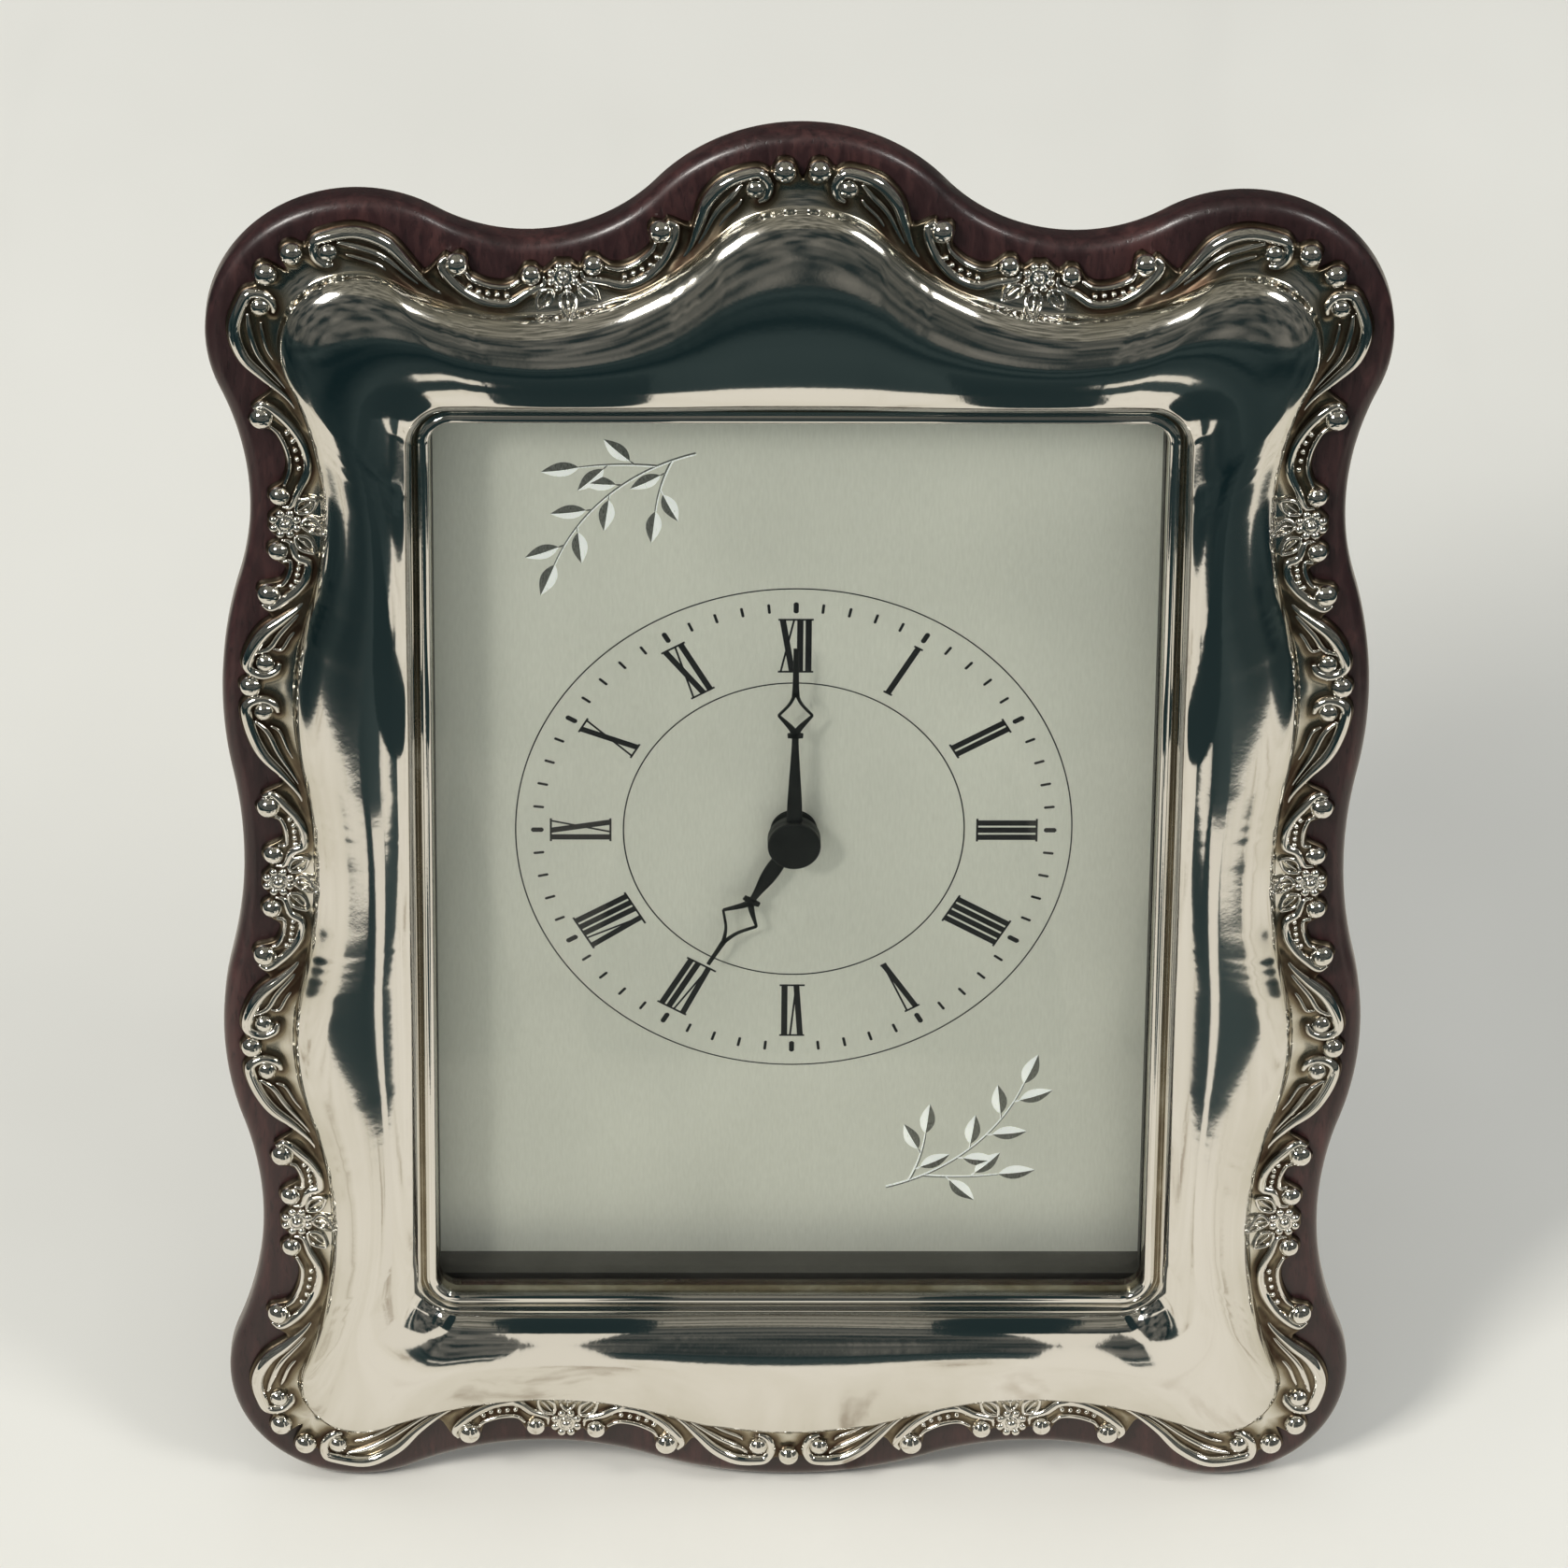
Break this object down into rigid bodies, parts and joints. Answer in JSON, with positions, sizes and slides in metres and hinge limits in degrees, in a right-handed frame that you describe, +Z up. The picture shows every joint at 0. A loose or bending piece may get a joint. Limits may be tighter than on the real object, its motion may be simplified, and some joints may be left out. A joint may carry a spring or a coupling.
{
  "type": "photo frame clock",
  "caption": "Table clock in a serpentine wooden frame with an embossed silver face, glazed dial, battery movement and easel strut.",
  "frame": {"origin": "centre of the footprint box on the surface that the clock stands on", "axes": "+X to the viewer's right, +Y from the viewer towards the back, +Z up; the face leans back by 12 degrees"},
  "size_m": [0.2016, 0.078, 0.2676],
  "materials": {
    "silver": "mirror-polished pressed silver",
    "mahogany": "dark stained and polished mahogany",
    "clear_glass": "flat clear glass",
    "dark_mount": "dark brown mount strip",
    "dial_silver": "vertically brushed satin dial",
    "backing_board": "plain fibre board",
    "back_stain": "stained wooden back",
    "black_lacquer": "black lacquered hands",
    "brass": "polished brass",
    "steel": "bright steel",
    "black_plastic": "moulded black plastic",
    "white_plastic": "moulded white plastic gears",
    "copper_wire": "enamelled copper winding",
    "rubber": "soft rubber washer",
    "circuit_green": "green circuit board",
    "cell_case": "plain battery sleeve"
  },
  "bodies": {
    "frame": {"front_board": "mahogany", "silver_face": "silver", "glass": "clear_glass", "spacer_top": "dark_mount", "spacer_bottom": "dark_mount", "spacer_left": "dark_mount", "spacer_right": "dark_mount", "dial_plate": "dial_silver", "dial_board": "backing_board", "box_top": "mahogany", "box_bottom": "mahogany", "box_left": "mahogany", "box_right": "mahogany", "back_panel": "back_stain", "movement_case": "black_plastic", "movement_cover": "black_plastic", "train_plate": "black_plastic", "fixing_bush": "brass", "fixing_nut": "brass", "fixing_washer": "brass", "rubber_washer": "rubber", "stator": "steel", "coil_bobbin": "black_plastic", "coil_winding": "copper_wire", "circuit_board": "circuit_green", "battery": "cell_case", "contact_positive": "steel", "contact_negative": "steel", "hinge_fixed_leaf": "brass", "hinge_pin": "brass", "hinge_screws": "brass", "turn_button_screws": "brass"},
    "minute_arbor": {"minute_arbor": "brass", "minute_hand": "black_lacquer", "hand_nut": "black_lacquer"},
    "hour_wheel": {"hour_wheel": "white_plastic", "hour_hand": "black_lacquer"},
    "motion_wheel": {"motion_wheel": "white_plastic"},
    "setting_knob": {"setting_knob": "black_plastic"},
    "centre_wheel": {"centre_wheel": "white_plastic"},
    "third_wheel": {"third_wheel": "white_plastic"},
    "fourth_wheel": {"fourth_wheel": "white_plastic"},
    "intermediate_wheel": {"intermediate_wheel": "white_plastic"},
    "rotor": {"rotor": "white_plastic"},
    "strut": {"strut": "back_stain", "hinge_moving_leaf": "brass", "strut_screws": "brass"},
    "turn_button_top_left": {"turn_button_top_left": "brass"},
    "turn_button_top_right": {"turn_button_top_right": "brass"},
    "turn_button_bottom_left": {"turn_button_bottom_left": "brass"},
    "turn_button_bottom_right": {"turn_button_bottom_right": "brass"}
  },
  "joints": [
    {"name": "minute_hand_turn", "type": "hinge", "parent": "frame", "child": "minute_arbor", "pos_m": [0, 0.00379, 0.1264], "axis": [0, 0.9781, -0.2079], "continuous": true},
    {"name": "hour_hand_turn", "type": "hinge", "parent": "frame", "child": "hour_wheel", "pos_m": [0, 0.00379, 0.1264], "axis": [0, 0.9781, -0.2079], "continuous": true},
    {"name": "motion_wheel_turn", "type": "hinge", "parent": "frame", "child": "motion_wheel", "pos_m": [0.0094, 0.0045, 0.12975], "axis": [0, 0.9781, -0.2079], "continuous": true},
    {"name": "setting_knob_turn", "type": "hinge", "parent": "frame", "child": "setting_knob", "pos_m": [0.0144, 0.0063, 0.13822], "axis": [0, 0.9781, -0.2079], "continuous": true},
    {"name": "fourth_wheel_turn", "type": "hinge", "parent": "frame", "child": "fourth_wheel", "pos_m": [0, 0.00379, 0.1264], "axis": [0, 0.9781, -0.2079], "continuous": true},
    {"name": "centre_wheel_turn", "type": "hinge", "parent": "frame", "child": "centre_wheel", "pos_m": [0, 0.00379, 0.1264], "axis": [0, 0.9781, -0.2079], "continuous": true},
    {"name": "third_wheel_turn", "type": "hinge", "parent": "frame", "child": "third_wheel", "pos_m": [-0.009, 0.00379, 0.1264], "axis": [0, 0.9781, -0.2079], "continuous": true},
    {"name": "intermediate_wheel_turn", "type": "hinge", "parent": "frame", "child": "intermediate_wheel", "pos_m": [0.00156, 0.00563, 0.13507], "axis": [0, 0.9781, -0.2079], "continuous": true},
    {"name": "rotor_turn", "type": "hinge", "parent": "frame", "child": "rotor", "pos_m": [-0.00462, 0.00691, 0.14113], "axis": [0, 0.9781, -0.2079], "continuous": true},
    {"name": "strut_fold", "type": "hinge", "parent": "frame", "child": "strut", "pos_m": [0, 0.00491, 0.08118], "axis": [1, 0, 0], "range_deg": [-32, 0]},
    {"name": "turn_button_top_left_swivel", "type": "hinge", "parent": "frame", "child": "turn_button_top_left", "pos_m": [-0.0717, 0.02509, 0.18526], "axis": [0, 0.9781, -0.2079], "range_deg": [-90, 90]},
    {"name": "turn_button_top_right_swivel", "type": "hinge", "parent": "frame", "child": "turn_button_top_right", "pos_m": [0.0717, 0.02509, 0.18526], "axis": [0, 0.9781, -0.2079], "range_deg": [-90, 90]},
    {"name": "turn_button_bottom_left_swivel", "type": "hinge", "parent": "frame", "child": "turn_button_bottom_left", "pos_m": [-0.0717, -0.00069, 0.06397], "axis": [0, 0.9781, -0.2079], "range_deg": [-90, 90]},
    {"name": "turn_button_bottom_right_swivel", "type": "hinge", "parent": "frame", "child": "turn_button_bottom_right", "pos_m": [0.0717, -0.00069, 0.06397], "axis": [0, 0.9781, -0.2079], "range_deg": [-90, 90]}
  ],
  "couplings": [
    {"joint": "motion_wheel_turn", "follows": "minute_hand_turn", "ratio": -0.33333},
    {"joint": "hour_hand_turn", "follows": "minute_hand_turn", "ratio": 0.083333},
    {"joint": "setting_knob_turn", "follows": "minute_hand_turn", "ratio": 1},
    {"joint": "intermediate_wheel_turn", "follows": "fourth_wheel_turn", "ratio": -5},
    {"joint": "rotor_turn", "follows": "fourth_wheel_turn", "ratio": 30},
    {"joint": "third_wheel_turn", "follows": "fourth_wheel_turn", "ratio": -0.13333},
    {"joint": "centre_wheel_turn", "follows": "fourth_wheel_turn", "ratio": 0.016667}
  ]
}
